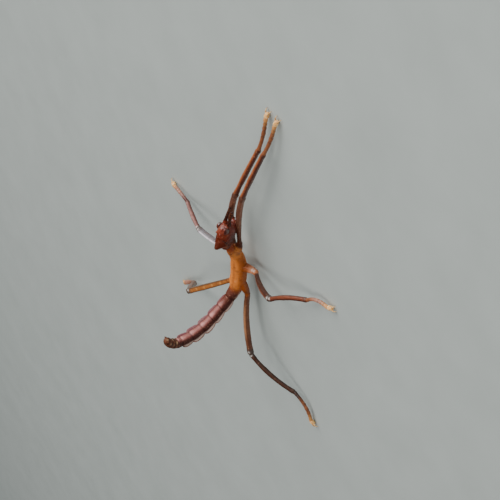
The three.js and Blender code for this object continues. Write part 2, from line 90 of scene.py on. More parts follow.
# Each leg's pose. `hip` is inside the body and `thigh` is where the femur starts. Headings are compass
# degrees, with 0 forward and 90 to the right. A bow is the most that a piece bends, to the right and up.
LEGS = (
    {"name": "fore_right", "hip": (0.3, 2.25, 1.75), "thigh": (0.4, 3.0, 1.43),
     "headings": (6.8, 17.9, 11.9), "knee": 1.6, "ankle": 0.88,
     "bow": (-0.36, 0.02), "shin_bow": (0, 0.05), "toe_bow": (0.12, 0)},
    {"name": "fore_left", "hip": (-0.3, 2.25, 1.8), "thigh": (-0.76, 2.95, 1.5),
     "headings": (10.7, 17.7, 5.1), "knee": 1.76, "ankle": 0.8,
     "bow": (-0.35, 0.02), "shin_bow": (0, 0.05), "toe_bow": (0.12, 0)},
    {"name": "middle_right", "hip": (0.4, -0.1, 1.2), "thigh": (1.85, 0.17, 0.83),
     "headings": (78.1, 56.2, 66.4), "knee": 1.96, "ankle": 0.7,
     "bow": (0.1, 0.2), "shin_bow": (-0.22, 0.05), "toe_bow": (-0.36, 0.02)},
    {"name": "middle_left", "hip": (-0.4, 0.25, 1.4), "thigh": (-1.65, 0.13, 1.2),
     "headings": (-90.8, -100.3, -90.4), "knee": 1.88, "ankle": 0.5,
     "bow": (0, 0.08), "shin_bow": (0, 0.05), "toe_bow": (0.1, 0.02)},
    {"name": "hind_right", "hip": (0.42, -2.1, 1.4), "thigh": (0.92, -3.35, 1.12),
     "headings": (166.3, 106.9, 134), "knee": 1.9, "ankle": 0.6,
     "bow": (0.37, 0.05), "shin_bow": (0.12, 0.22), "toe_bow": (-0.62, 0.02)},
    {"name": "hind_left", "hip": (-0.42, -2.1, 1.5), "thigh": (-1.35, -3.4, 1.28),
     "headings": (-135.5, -138.6, -135), "knee": 3.05, "ankle": 0.62, "stout": 1.3,
     "bow": (0, 0.1), "shin_bow": (0, 0.05), "toe_bow": (0.1, 0.02)},
)

# ---------- Sizes that only the skin has ----------

VOXEL = 0.036    # the skin's grain
RING_STEP = 0.07  # distance between the rings that a form is swept through
SMOOTHING = 3
RELIEF = ((3.2, 0.010), (9.0, 0.008))  # about how many bumps to a millimetre, and how high
CHUNK = 4000     # corners of the skin that are painted at once
COLOUR_RUN = 0.6  # the share of a corner's colour that each round takes from its neighbours

LOBE_THICKNESS = 0.11
LOBE_GAP = 0.02     # how far a lobe stays inside its segment's ends and its own outline
LOBE_OUTLINE = ((0, 0.0), (0.1, 0.4), (0.3, 0.8), (0.6, 0.98), (0.85, 1.0), (0.94, 0.8), (1, 0.1))
LEAST_LOBE = 0.08   # a smaller one is just a swelling
PLATE_STEP = 0.05   # how far the rear edge of a plate stands over the next one
GROOVE = 0.06       # half the width of the grooves between plates
KEEL = (0.04, 0.22)  # height and half width of the low keel along the thorax
TAIL_ROUND = 0.55   # the length of the tail's round end
FIRST_TAIL_SEGMENT = 7
BACK_STUDS = {"before_seam": 0.18, "angle": 0.38, "radius": 0.055, "height": 0.045}
TAIL_STUDS = {"places": (0.05, 0.5, 0.95), "angle": 1.3, "count": 5, "radius": 0.06, "height": 0.05}
TAIL_TIPS = {"before_end": 0.35, "angle": 1.2, "length": 0.28, "radii": (0.09, 0.04)}

HEAD_KNOBS = (  # foot and tip of each as (along, up, out), and the radii there
    ((2.0, 0.72, 0.2), (1.88, 0.98, 0.26), (0.14, 0.05)),
    ((1.15, 0.66, 0.2), (1.0, 0.93, 0.24), (0.09, 0.04)),
    ((2.2, -0.2, 0.38), (2.5, -0.25, 0.4), (0.16, 0.14)),
)
CHEEK_RIDGE = (  # (along, up, out)
    (1.05, 0.42, 0.49), (1.25, 0.36, 0.54), (1.49, 0.25, 0.585), (1.78, 0.07, 0.62), (1.95, -0.05, 0.6),
)
CHEEK_RIDGE_RADIUS = 0.045
EYE_RIMS = (  # from and to which angle, how far from the eye's middle, how thick, how far out, colour
    # The first rim's dark colour is painted shade in the eye's socket.
    (0, 370, 0.27, 0.04, 0.46, "socket"), (15, 165, 0.25, 0.075, 0.46, "face"),
)
EYE_FIT = 0.985     # how much smaller than its solid the eye is
MOUTH_FIT = 0.97
MOUTH_GIRTH = ((0, 1), (0.5, 0.95), (0.75, 0.8), (0.92, 0.54), (1, 0.25))
PALP = ((0.16, -0.1, 0.13), (0.22, -0.28, 0.15), (0.28, -0.42, 0.15))  # from the skull's end and the mouth
ARTICLES = 8        # beads of an antenna
ARTICLE_STEP = ANTENNA["length"] / (ARTICLES + 0.4)
ANTENNA_ARCH = 0.05

# How thick each leg piece is along it, as (share of its length, share of its radius).
COXA_GIRTH = ((0, 1.6), (0.3, 1.42), (0.55, 1.15), (0.72, 1.0), (0.8, 0.88), (0.86, 0.98), (1, 0.84))
TIBIA_GIRTH = (
    (0, 1.0), (0.05, 1.02), (0.15, 0.88), (0.4, 1.02), (0.6, 0.94), (0.9, 0.9), (0.97, 1.0), (1, 0.94),
)
TARSUS_GIRTH = ((0, 1.05), (0.04, 1.1), (0.1, 0.95), (0.4, 0.95), (0.46, 1.1), (0.4601, 1.05), (1, 1.05))
TARSOMERE_ENDS = (0.48, 0.64, 0.77, 0.88)
LEG_ENDS = {        # how far a piece's round ends start before it and end past it, and their radius
    "coxa": (1, 0, 0.12), "femur": (0.1, 0.05, 0.16), "tibia": (0.12, 0.08, 0.16),
    "tarsus": (0.1, 0.12, 0.15),
}
RAISED_EDGES = 4    # edges round the cross section of a femur or tibia
EDGE_HEIGHT = 0.06
TEETH = {"sunk": 0.97, "radius": 0.045, "height": 0.035}
TUCKS = {"fore_right": (-0.1, 0, 0), "fore_left": (0.08, 0, 0), "middle_left": (-0.04, 0.08, -0.04)}
TUCK_END = 0.35     # the share of the femur where its line is back in the middle of its solid
PAD_GIRTH = ((0, 0.165), (0.2, 0.21), (0.4, 0.2), (0.52, 0.185), (0.75, 0.21), (1, 0.2))
PAD_TOE_RADIUS = 0.22
CLAW = ((0.36, 0.11, 0.25), (0.33, 0.1, 0.32), (0.07, 0.05, 0.045))  # steps ahead and out, and heights
CLAW_RADIUS = 0.075
CLAW_TIP_RADIUS = 0.004

# ---------- Where the markings are ----------

BANDS = {           # where each look of the trunk starts and is full, along the spine
    "pronotum": (0.7, 1.3), "thorax": (1.3, 2.0), "dark_flank": (1.8, 2.6), "back_line": (2.3, 3.0),
    "swelling": (5.5, 6.8), "soft_plates": (5.8, 6.6), "loin": (5.9, 6.6), "seam": (6.3, 7.6),
    "base": (6.4, 7.0), "abdomen_marks": (6.5, 7.5), "abdomen": (7.2, 9.6), "sheen": (7.8, 9.4),
}
THORAX_SPECKS = (   # how far along the spine and how far to the left
    (0.86, -0.2), (1.15, -0.35), (1.41, -0.24), (1.45, 0.25), (1.0, 0.2), (2.1, 0.3), (3.4, -0.3),
)
TAIL_BAND = 0.45    # distance between the tail's dark bands
TAIL_BEADS = 5      # cream beads on a whole ring of the tail
BEAD_TWIST = 5      # how far the beads turn round the tail in a millimetre
FLECKS = 11         # flecks along a femur or tibia
LEG_LOOKS = {       # the paints from hip to toe; a femur's or tibia's edges have a paint of their own
    "fore_right": ("pronotum", "fore_coxa", "fore_femur", "shin", "toe", "toe"),
    "fore_left": ("fore_coxa", "fore_coxa", "fore_femur", "shin", "toe", "toe"),
    "middle_right": ("thorax_dark", "coxa", "dusky", "maroon_shin", "toe", "pink_toe"),
    # This femur's near-white paint is a painted sheen.
    "middle_left": ("thorax_dark", "coxa", "lilac", "pink_shin", "pink_shin", "pink_toe"),
    "hind_right": ("thorax_dark", "loin", "umber", "black_shin", "black_shin", "toe"),
    "hind_left": ("thorax_dark", "loin", "ochre", "grey_shin", "grey_shin", "pink_toe"),
}
LEG_PIECES = ("hip", "coxa", "femur", "tibia", "ankle", "tarsus")
FEMUR_EDGES = {     # where a femur's edge colour starts and is full, as shares of its half width
    "fore": (0.5, 0.9), "middle": (0.3, 0.7), "hind": (0.4, 0.8),
}
KNEES = {           # colour, strength on the femur, where the shin's own colour starts, and ankle's strength
    "fore": ("knee", 0.4, -0.05, 0.4),
    "middle": ("grey_knee", 0.9, 0.0, 0.7),
    "hind": ("grey_knee", 0.9, 0.0, 0.7),
}
COXA_GLINTS = {"spots": ((0.76, 0.05), (0.92, 0.04)), "out": 0.21}  # spots: shares of the length
KNEE_GLINTS = {"femur": 0.96, "tibia": 0.03, "out": 0.13}

# ---------- Colours, as the eye sees them ----------

PAINT = {
    # The salmon patch by the left eye is a painted highlight.
    "skull": 0x6A2414, "face": 0x7E321E, "lit_brow": 0xBE7A5E, "cheek": 0x4A180E, "muzzle": 0x743026,
    # The socket colour is painted shade round the eyes.
    "crown": 0x5A2010, "mouth": 0x8C3A2A, "ridge": 0x96705E, "socket": 0x52201A,
    "scape": 0x5A2418, "feeler": 0x38160C, "feeler_ring": 0x70381C,
    "neck": 0x8E3C18, "pronotum": 0xB86C2E, "thorax": 0xD67A30, "thorax_dark": 0x9A4A12, "speck": 0x4A2010,
    # The abdomen's darker right side and left edge are painted shade, and its pink sheen is a painted
    # highlight.
    "loin": 0x8A4418, "abdomen": 0x74362E, "base": 0x643020, "sheen": 0xD8948C, "abdomen_dark": 0x48201A,
    # The right lobes' pale colour is painted light showing through them.
    "seam": 0x2E120E, "left_lobe": 0x7C444C, "left_rim": 0x8A5654, "right_lobe": 0xA08C80,
    "right_rim": 0x6A3C32, "lobe_glint": 0xD0A49A,
    # The tail's cream beads on its top are partly pale tubercles and partly painted glints.
    "tail": 0x70402A, "tail_dark": 0x33180E, "tail_bead_and_glint": 0xDCB88C,
    "coxa": 0xC87C52, "fore_coxa": 0x502414,
    # The fore femurs' paler edge colour is a painted highlight.
    "fore_femur": 0x704636, "fore_femur_edge": 0xB06A42, "dusky": 0x824830, "dusky_edge": 0x3A2018,
    # The near-white femur paint is a painted sheen, with near-black edges.
    "lilac": 0xFFF4FA, "lilac_edge": 0x1C0E12, "umber": 0xBA8058, "umber_edge": 0x643826,
    # The ochre femur's pale flecks along its top are partly its own flecks and partly painted glints.
    "ochre": 0xA4622C, "ochre_edge": 0x54381E, "ochre_fleck": 0xD89A54,
    "knee": 0x403028, "grey_knee": 0x4C403A, "glint": 0xFFF6EA,
    # A shin's edge colour is mostly a paler painted highlight on its top and one side.
    "shin": 0x642E20, "shin_edge": 0xB4683A, "maroon_shin": 0x4C2018, "maroon_shin_edge": 0x84462E,
    "pink_shin": 0x5A2A24, "pink_shin_edge": 0xA87870,
    "black_shin": 0x2E1A12, "black_shin_edge": 0x4A2A1C,
    "grey_shin": 0x805640, "grey_shin_edge": 0x5A4030,
    "toe": 0x8E5434, "pink_toe": 0xB07A66, "toe_end": 0xDC9A58,
    "pad": 0xFFD898, "pad_dark": 0xE09240, "claw": 0xF0CC90, "claw_dark": 0xB87838,
}


def linear(code):
    """A colour code as linear red, green and blue."""
    parts = np.array([(code >> 16) & 255, (code >> 8) & 255, code & 255]) / 255
    return np.where(parts <= 0.04045, parts / 12.92, ((parts + 0.055) / 1.055) ** 2.4)


COLOUR = {name: linear(code) for name, code in PAINT.items()}


# ---------- Lines and tables ----------

def unit(vector):
    return np.asarray(vector, float) / np.linalg.norm(vector)


def square_to(along, wish):
    """The directions that are square to each of some directions and nearest to a wished one."""
    across = wish - (along @ wish)[:, None] * along
    return across / np.linalg.norm(across, axis=1)[:, None]


def heading_of(degrees):
    """The level direction of a compass heading: 0 is forward and 90 to the insect's right."""
    angle = math.radians(degrees)
    return np.array([math.sin(angle), math.cos(angle), 0.0])


def table(rows, places):
    """Columns of a table at some places: each row starts with its own place."""
    rows = np.array(rows, float)
    return [np.interp(places, rows[:, 0], rows[:, column]) for column in range(1, rows.shape[1])]


def blend(low, high, share):
    """Colours between two others."""
    share = np.clip(np.asarray(share, float), 0, 1)[:, None]
    return np.asarray(low) * (1 - share) + np.asarray(high) * share


def layered(colour, *layers):
    """Paints named colours over one another, each with its own share at every place."""
    for name, share in layers:
        colour = blend(colour, COLOUR[name], share)
    return colour


def rise(start, end, places):
    """0 before start, 1 after end, and smooth between them."""
    share = np.clip((places - start) / (end - start), 0, 1)
    return share * share * (3 - 2 * share)


def near(centre, width, places):
    """1 at the centre, falling to 0 over about the width."""
    return np.exp(-(((places - centre) / width) ** 2))


def catmull_rom(points, per_span=24):
    """Points along a centripetal Catmull-Rom curve."""
    points = np.asarray(points, float)
    ends = np.vstack([2 * points[0] - points[1], points, 2 * points[-1] - points[-2]])
    curve = []
    for a, b, c, d in zip(ends, ends[1:], ends[2:], ends[3:]):
        ab, bc, cd = (max(1e-4, math.sqrt(np.linalg.norm(q - p))) for p, q in ((a, b), (b, c), (c, d)))
        start = ((b - a) / ab - (c - a) / (ab + bc) + (c - b) / bc) * bc
        end = ((c - b) / bc - (d - b) / (bc + cd) + (d - c) / cd) * bc
        for share in np.arange(per_span) / per_span:
            cube, square = share ** 3, share ** 2
            curve.append((2 * cube - 3 * square + 1) * b + (cube - 2 * square + share) * start
                         + (3 * square - 2 * cube) * c + (cube - square) * end)
    return np.array(curve + [points[-1]])


def bezier(start, control, end, steps=60):
    share = np.linspace(0, 1, steps)[:, None]
    return (1 - share) ** 2 * start + 2 * share * (1 - share) * control + share ** 2 * end


class Line:
    """A curve that can be read at any distance along it."""

    def __init__(self, points):
        self.points = np.asarray(points, float)
        steps = np.linalg.norm(np.diff(self.points, axis=0), axis=1)
        self.marks = np.concatenate([[0], np.cumsum(steps)])
        self.length = self.marks[-1]

    def at(self, places):
        return np.stack([np.interp(places, self.marks, self.points[:, axis]) for axis in range(3)], axis=1)

    def along(self, places):
        reach = 0.02
        ahead = self.at(np.clip(np.asarray(places) + reach, 0, self.length))
        behind = self.at(np.clip(np.asarray(places) - reach, 0, self.length))
        steps = ahead - behind
        return steps / np.linalg.norm(steps, axis=1)[:, None]


# ---------- Swept forms ----------

class Body:
    """Closed forms that are melted into one skin, and the rings that its paint is read from."""

    def __init__(self):
        self.points, self.faces, self.rings = [], [], []
        self.size = 0

    def add(self, points, faces):
        self.faces += [[corner + self.size for corner in face] for face in faces]
        self.points.append(points)
        self.size += len(points)

    def sweep(self, line, girth, right, sides=28, section=None, paint=None, dull=0.35, start=0.0, end=None):
        """Sweeps an oval, reshaped by section(angle, place), along a line. girth(place) gives its half
        width, height over and depth under. paint(place, x, z, width) colours the skin that is nearest
        to it, and `dull` takes away its gloss."""
        end = line.length if end is None else end
        count = max(4, int((end - start) / RING_STEP) + 1)
        places = np.linspace(start, end, count)
        centres, along = line.at(places), line.along(places)
        across = square_to(along, right)
        over = np.cross(across, along)
        width, height, depth = (np.asarray(part, float) * np.ones(count) for part in girth(places))
        self.add(*loft(centres, across, over, width, height, depth, sides, section, places))
        if paint is not None:
            reach = (width + height + depth) / 3
            self.rings.append((centres, across, over, along, places, reach, width, paint, dull))


def loft(centres, across, over, width, height, depth, sides, section, places):
    """The corners and faces of a closed form through oval rings."""
    angle = np.arange(sides) * 2 * math.pi / sides
    cosine, sine = np.cos(angle), np.sin(angle)
    shape = np.ones((len(centres), sides))
    if section is not None:
        shape = section(angle[None, :], places[:, None]) * shape
    x = width[:, None] * cosine[None, :] * shape
    z = np.where(sine[None, :] > 0, height[:, None], depth[:, None]) * sine[None, :] * shape
    rings = centres[:, None, :] + x[..., None] * across[:, None, :] + z[..., None] * over[:, None, :]
    points = np.vstack([rings.reshape(-1, 3), centres[:1], centres[-1:]])
    count = len(centres)
    first, last = count * sides, count * sides + 1
    faces = []
    for row in range(count - 1):
        for side in range(sides):
            following = (side + 1) % sides
            faces.append([row * sides + side, row * sides + following,
                          (row + 1) * sides + following, (row + 1) * sides + side])
    for side in range(sides):
        following = (side + 1) % sides
        faces.append([first, side, following][::-1])
        faces.append([last, (count - 1) * sides + side, (count - 1) * sides + following])
    return points, faces


def even(radius_at):
    """The girth of a round form from its radius."""
    def girth(places):
        size = radius_at(places)
        return size, size, size
    return girth


def round_ends(places, start, end, radius):
    """Shares that close a swept form with a round end at each side."""
    into = np.clip((places - start) / radius, 0, 1)
    out = np.clip((end - places) / radius, 0, 1)
    return np.sqrt(np.clip(1 - (1 - into) ** 2, 0.002, 1)) * np.sqrt(np.clip(1 - (1 - out) ** 2, 0.002, 1))


def stud(body, foot, direction, radius, height):
    """A small blunt cone on the skin."""
    foot = np.asarray(foot, float) - unit(direction) * radius
    line = Line([foot, foot + unit(direction) * (height + radius)])
    side = RIGHT if abs(unit(direction)[0]) < 0.8 else UP

    def radius_at(places):
        size = radius * (1 - 0.75 * places / line.length)
        return size * round_ends(places, -radius, line.length, radius * 0.6)

    body.sweep(line, even(radius_at), side, sides=10)


def new_object(name, points, faces, scale=METRES):
    mesh = bpy.data.meshes.new(name)
    mesh.from_pydata((np.asarray(points) * scale).tolist(), [], [list(map(int, face)) for face in faces])
    mesh.update()
    mesh.shade_smooth()
    thing = bpy.data.objects.new(name, mesh)
    bpy.context.scene.collection.objects.link(thing)
    return thing


# ---------- Trunk ----------
# Its width direction points to the insect's left, so that `over` points up along the whole trunk.

spine = Line(catmull_rom([(0, forward, height) for forward, height in SPINE]) + HIPS)
ABDOMEN_START = THORAX_ENDS[-1]
segment_starts = ABDOMEN_START + np.concatenate([[0], np.cumsum([row[0] for row in SEGMENTS])])
plate_ends = np.concatenate([THORAX_ENDS, segment_starts[1:-1]])
TAIL_START = segment_starts[FIRST_TAIL_SEGMENT]
tail_left = heading_of(TAIL_TURN - 90)


def plate_share(places):
    """How far along its own plate each place is, from 0 to 1."""
    edges = np.concatenate([[0], plate_ends, [spine.length]])
    row = np.clip(np.searchsorted(edges, places, side="right") - 1, 0, len(edges) - 2)
    return (places - edges[row]) / (edges[row + 1] - edges[row])


def band(name, places):
    """How far along the spine a look of the trunk has come: 0 before it starts, 1 where it is full."""
    return rise(*BANDS[name], places)


def trunk_girth(places):
    width, height, depth = table(TRUNK_GIRTH, places)
    swell = PLATE_STEP * rise(0.3, 0.92, plate_share(places)) * band("swelling", places)
    joint = sum(near(mark, GROOVE, places) for mark in plate_ends)
    groove = 1 - joint * (0.05 + 0.07 * band("soft_plates", places))
    close = np.sqrt(np.clip((spine.length - places) / TAIL_ROUND, 0.003, 1))
    return (width + 0.5 * swell) * groove * close, (height + swell) * groove * close, depth * groove * close


def trunk_section(angle, places):
    """A low keel along the thorax's back."""
    height, width = KEEL
    return 1 + height * near(math.pi / 2, width, angle) * (1 - band("soft_plates", places))


def lobe_reach(places):
    """How far the side lobe stands out at each place along the spine."""
    reach = np.zeros(len(places))
    for (length, lobe), start in zip(SEGMENTS, segment_starts):
        inside = (places >= start) & (places < start + length) & (lobe > LEAST_LOBE)
        reach[inside] = lobe * table(LOBE_OUTLINE, (places[inside] - start) / length)[0]
    return reach


def thorax_paint(places, x, z, width):
    """Red-brown neck with dark specks, then an orange thorax that is darker on its flanks."""
    flank = rise(0.62, 1.0, np.abs(x) / width) * band("dark_flank", places)
    specks = [near(place, 0.1, places) * near(aside, 0.09, x) * rise(0, 0.15, z)
              for place, aside in THORAX_SPECKS]
    return layered(
        COLOUR["neck"],
        ("pronotum", band("pronotum", places)),
        ("thorax", band("thorax", places)),
        ("thorax_dark", 0.85 * flank),
        ("thorax_dark", 0.5 * near(-0.2, 0.1, x) * band("back_line", places)),
        *[("speck", 0.75 * speck) for speck in specks],
    )


def trunk_paint(places, x, z, width):
    """The thorax's colours, then a maroon abdomen with a painted pink sheen, painted shade on its right side
    and left edge, dark seams and a brown tail.
    """
    marks = band("abdomen_marks", places)
    top = near(0.1, 0.22, x) * rise(-0.1, 0.2, z)
    shine = band("sheen", places) * top * (0.4 + 0.6 * near(0.85, 0.22, plate_share(places)))
    seam = np.max([near(mark, 0.05, places) for mark in plate_ends], axis=0)
    return layered(
        thorax_paint(places, x, z, width),
        *[(name, band(name, places)) for name in ("loin", "base", "abdomen")],
        ("sheen", marks * shine),
        # painted shade: darker on the right side and along the left edge
        ("abdomen_dark", marks * rise(0.1, 0.7, -x / width)),
        ("abdomen_dark", 0.7 * marks * rise(0.8, 1.0, x / width)),
        ("seam", 0.8 * seam * band("seam", places)),
        *lobe_layers(places, x, width),
        *tail_layers(places, x, z),
    )


def lobe_layers(places, x, width):
    """The lobes' colours, with rims and pale glints near their edges; the right lobes are painted pale, as
    light showing through them.
    """
    out = (np.abs(x) - width) / np.maximum(lobe_reach(places), 0.05)
    on_lobe = rise(0.05, 0.2, out) * (lobe_reach(places) > 0)
    glint = rise(0.85, 1.0, out) * near(0.55, 0.25, plate_share(places))
    layers = []
    for side, look in ((1, "left"), (-1, "right")):
        here = on_lobe * (side * x > 0)
        layers += [(f"{look}_lobe", here), (f"{look}_rim", here * rise(0.5, 0.75, out))]
    return layers + [("lobe_glint", 0.6 * on_lobe * glint)]


def tail_layers(places, x, z):
    """Brown, with dark bands and cream beads across the back."""
    in_tail = rise(TAIL_START - 0.05, TAIL_START + 0.1, places)
    bands = (np.cos((places - TAIL_START) * 2 * math.pi / TAIL_BAND) + 1) / 2
    beads = (np.cos(np.arctan2(x, z) * TAIL_BEADS + places * BEAD_TWIST) + 1) / 2
    uneven = rise(-0.6, 0.4, np.sin(places * 9 + x * 11))
    return [
        ("tail", in_tail),
        ("tail_dark", in_tail * bands ** 2),
        # cream beads on the top: partly pale tubercles, partly painted glints
        ("tail_bead_and_glint", in_tail * ((1 - bands) * beads) ** 2 * uneven * rise(0.0, 0.2, z)),
    ]


def lobes(body):
    """The flat side lobes of the abdomen: each swells along its segment and ends in a corner."""
    for (length, lobe), start in zip(SEGMENTS, segment_starts):
        if lobe < LEAST_LOBE:
            continue
        places = np.linspace(start + LOBE_GAP, start + length - LOBE_GAP, 40)
        core = table(TRUNK_GIRTH, places)[0]
        left = square_to(spine.along(places), tail_left)
        outer = core + lobe_reach(places) - LOBE_GAP
        inner = core * 0.5
        for side in (-1, 1):
            blade = Line(spine.at(places) + side * left * ((outer + inner) / 2)[:, None])
            add_blade(body, blade, (outer - inner) / 2)


def add_blade(body, line, half_widths):
    """A thin plate along a line, with its own half width at each of the line's points."""
    marks = np.linspace(0, line.length, len(half_widths))
    thin = LOBE_THICKNESS / 2
    body.sweep(line, lambda places: (np.interp(places, marks, half_widths), thin, thin), tail_left, sides=24)


def on_back(place, angle):
    """A point of the trunk's surface and the way it looks, at an angle from straight over."""
    place = np.array([place])
    left = square_to(spine.along(place), tail_left)[0]
    over = np.cross(left, spine.along(place)[0])
    width, height, _ = (part[0] for part in trunk_girth(place))
    out = left * math.sin(angle) * width + over * math.cos(angle) * height
    return spine.at(place)[0] + out, unit(out)


def trunk(body):
    """The trunk in two overlapping sweeps, because the abdomen is twisted a little."""
    body.sweep(spine, trunk_girth, LEFT, sides=40, section=trunk_section,
               paint=trunk_paint, dull=0.9, end=ABDOMEN_START + 0.1)
    body.sweep(spine, trunk_girth, tail_left, sides=40, section=trunk_section,
               paint=trunk_paint, dull=0.9, start=ABDOMEN_START - 0.1)
    lobes(body)
    for seam in plate_ends[len(THORAX_ENDS):-2]:
        for side in (-1, 1):
            place = on_back(seam - BACK_STUDS["before_seam"], side * BACK_STUDS["angle"])
            stud(body, *place, BACK_STUDS["radius"], BACK_STUDS["height"])
    for place in TAIL_STUDS["places"]:
        for angle in np.linspace(-TAIL_STUDS["angle"], TAIL_STUDS["angle"], TAIL_STUDS["count"]):
            stud(body, *on_back(TAIL_START + place, angle), TAIL_STUDS["radius"], TAIL_STUDS["height"])
    backward = spine.along(np.array([spine.length]))[0]
    for side in (-1, 1):
        root, _ = on_back(spine.length - TAIL_TIPS["before_end"], side * TAIL_TIPS["angle"])
        cone(body, root, root + backward * TAIL_TIPS["length"], TAIL_TIPS["radii"])


# ---------- Head ----------

skull_along = unit(SKULL_FRONT - SKULL_BACK)
skull_over = np.cross(RIGHT, skull_along)


def turned(point):
    """Turns a point made on the middle plane to where the head looks."""
    x, y, z = np.asarray(point, float) - HEAD_PIVOT
    cosine, sine = math.cos(HEAD_TURN), math.sin(HEAD_TURN)
    return np.array([cosine * x - sine * y, sine * x + cosine * y, z]) + HEAD_PIVOT


def head_point(along, height, out=0.0):
    return turned(SKULL_BACK + skull_along * along + skull_over * height + RIGHT * out) + HIPS


def head_direction(along, height, out=0.0):
    return unit(head_point(along, height, out) - head_point(0, 0, 0))


def beside(place, side):
    """A point of the head from (along, up, out), on its right side or mirrored to its left."""
    along, height, out = place
    return head_point(along, height, side * out)


head_right = head_direction(0, 0, 1)
head_forward = head_direction(1, 0)


def skull_paint(places, x, z, width):
    """Glossy red-brown: dark cheeks and crown, a redder face and muzzle, a painted highlight on the upper
    left of the face by the eye, and painted shade round the eyes.
    """
    from_eye = np.sqrt((places - EYE["along"]) ** 2 + (z - EYE["up"]) ** 2 + (np.abs(x) - EYE["out"]) ** 2)
    return layered(
        COLOUR["skull"],
        ("face", rise(1.3, 2.1, places) * rise(0.0, 0.5, z)),
        # painted highlight on the upper left of the face, by the left eye
        ("lit_brow", 0.6 * near(2.3, 0.3, places) * near(-0.35, 0.25, x) * rise(0.3, 0.6, z)),
        ("cheek", (1 - rise(1.5, 2.2, places)) * rise(0.3, -0.2, z)),
        ("crown", 0.8 * rise(1.3, 0.7, places)),
        ("muzzle", rise(1.9, 2.5, places) * rise(0.25, -0.1, z)),
        # painted shade round the eyes
        ("socket", 0.5 * rise(0.46, 0.32, from_eye)),
    )


def plain_paint(name):
    return lambda places, x, z, width: np.tile(COLOUR[name], (len(places), 1))


def cone(body, foot, tip, radii, look=None, sides=20):
    """A straight, round-ended piece that tapers from one radius to another."""
    line = Line([foot, tip])

    def radius(places):
        size = radii[0] + (radii[1] - radii[0]) * places / line.length
        return size * np.sqrt(np.clip((line.length - places) / radii[1], 0.01, 1))

    body.sweep(line, even(radius), head_right, sides=sides, paint=plain_paint(look) if look else None)


def strand(body, points, radius, look):
    """A round strand of one thickness and colour, on the head."""
    body.sweep(Line(points), lambda places: (radius,) * 3, head_right, sides=12, paint=plain_paint(look))


def head(body):
    skull_line = Line([head_point(0, 0), head_point(SKULL_END, 0)])

    def girth(places):
        close = round_ends(places, -0.25, SKULL_END + 0.12, 0.3)
        return [part * close for part in table(SKULL_GIRTH, places)]

    body.sweep(skull_line, girth, head_right, sides=40, paint=skull_paint, dull=0.25)
    cone(body, head_point(*CROWN["foot"]), head_point(*CROWN["tip"]), CROWN["radii"], "crown", sides=28)
    for side in (-1, 1):
        for foot, tip, radii in HEAD_KNOBS:
            cone(body, beside(foot, side), beside(tip, side), radii)
        strand(body, catmull_rom([beside(place, side) for place in CHEEK_RIDGE]), CHEEK_RIDGE_RADIUS, "ridge")
        eye_rim(body, side)
        antenna(body, side)
    mouth(body)


def eye_rim(body, side):
    """The rim that each eye sits in, painted dark as shade in the socket, and the thicker ridge over its
    upper side.
    """
    for start, end, swell, radius, out, look in EYE_RIMS:
        ring = [(EYE["along"] + swell * math.cos(angle), EYE["up"] + swell * math.sin(angle), out)
                for angle in np.radians(np.linspace(start, end, 40))]
        strand(body, [beside(place, side) for place in ring], radius, look)


def mouth(body):
    """Lips and jaws, with a pair of jointed palps below them."""
    back = head_point(SKULL_END - 0.15, MOUTH["from"] + 0.02)
    line = Line([back, head_point(MOUTH["end"] - 0.02, MOUTH["to"])])

    def girth(places):
        size = table(MOUTH_GIRTH, places / line.length)[0] * MOUTH_FIT
        return MOUTH["half_width"] * size, MOUTH["over"] * size, MOUTH["under"] * size

    body.sweep(line, girth, head_right, sides=28, paint=plain_paint("mouth"))
    for side in (-1, 1):
        root, knuckle, tip = [head_point(SKULL_END + along, MOUTH["from"] + up, side * out)
                              for along, up, out in PALP]
        cone(body, root, knuckle, (0.11, 0.08), "mouth", sides=14)
        cone(body, knuckle, tip, (0.1, 0.07), "face", sides=14)


def antenna_paint(places, x, z, width):
    """Dark, with a paler ring on each of the outer beads."""
    ring = near(0.5, 0.16, places / ARTICLE_STEP % 1) * rise(0.9, 1.9, places)
    return layered(COLOUR["scape"], ("feeler", rise(0.3, 0.5, places)), ("feeler_ring", ring))


def antenna(body, side):
    """A short, beaded feeler that points ahead."""
    root = SKULL_BACK + skull_along * ANTENNA["along"] + skull_over * ANTENNA["up"]
    root = root + RIGHT * side * ANTENNA["out"]
    direction = unit(heading_of(ANTENNA["heading"]) + UP * ANTENNA["rise"][side])
    arch = root + direction * ANTENNA["length"] * 0.5 + UP * ANTENNA_ARCH
    tip = root + direction * (ANTENNA["length"] - 0.05)
    line = Line(bezier(*[turned(point) + HIPS for point in (root, arch, tip)]))

    def radius(places):
        wave = np.abs(np.sin(places / ARTICLE_STEP * math.pi))
        size = table(((0, 0.2), (0.35, 0.2), (0.8, 0.15), (line.length, 0.125)), places)[0]
        return size * (0.82 + 0.18 * wave ** 0.6) * round_ends(places, -1, line.length, 0.14)

    body.sweep(line, even(radius), head_right, sides=18, paint=antenna_paint, dull=0.8)


# ---------- Legs ----------

def pair_of(leg):
    return leg["name"].split("_")[0]


def bowed(start, end, right, bow):
    control = (start + end) / 2 + right * 2 * bow[0] + UP * 2 * bow[1]
    return Line(bezier(start, control, end))


def step(start, length, heading, height):
    """The next joint: a length away on a compass heading, ending at a height."""
    level = math.sqrt(length ** 2 - (height - start[2]) ** 2)
    end = start + heading_of(heading) * level
    return np.array([end[0], end[1], height])


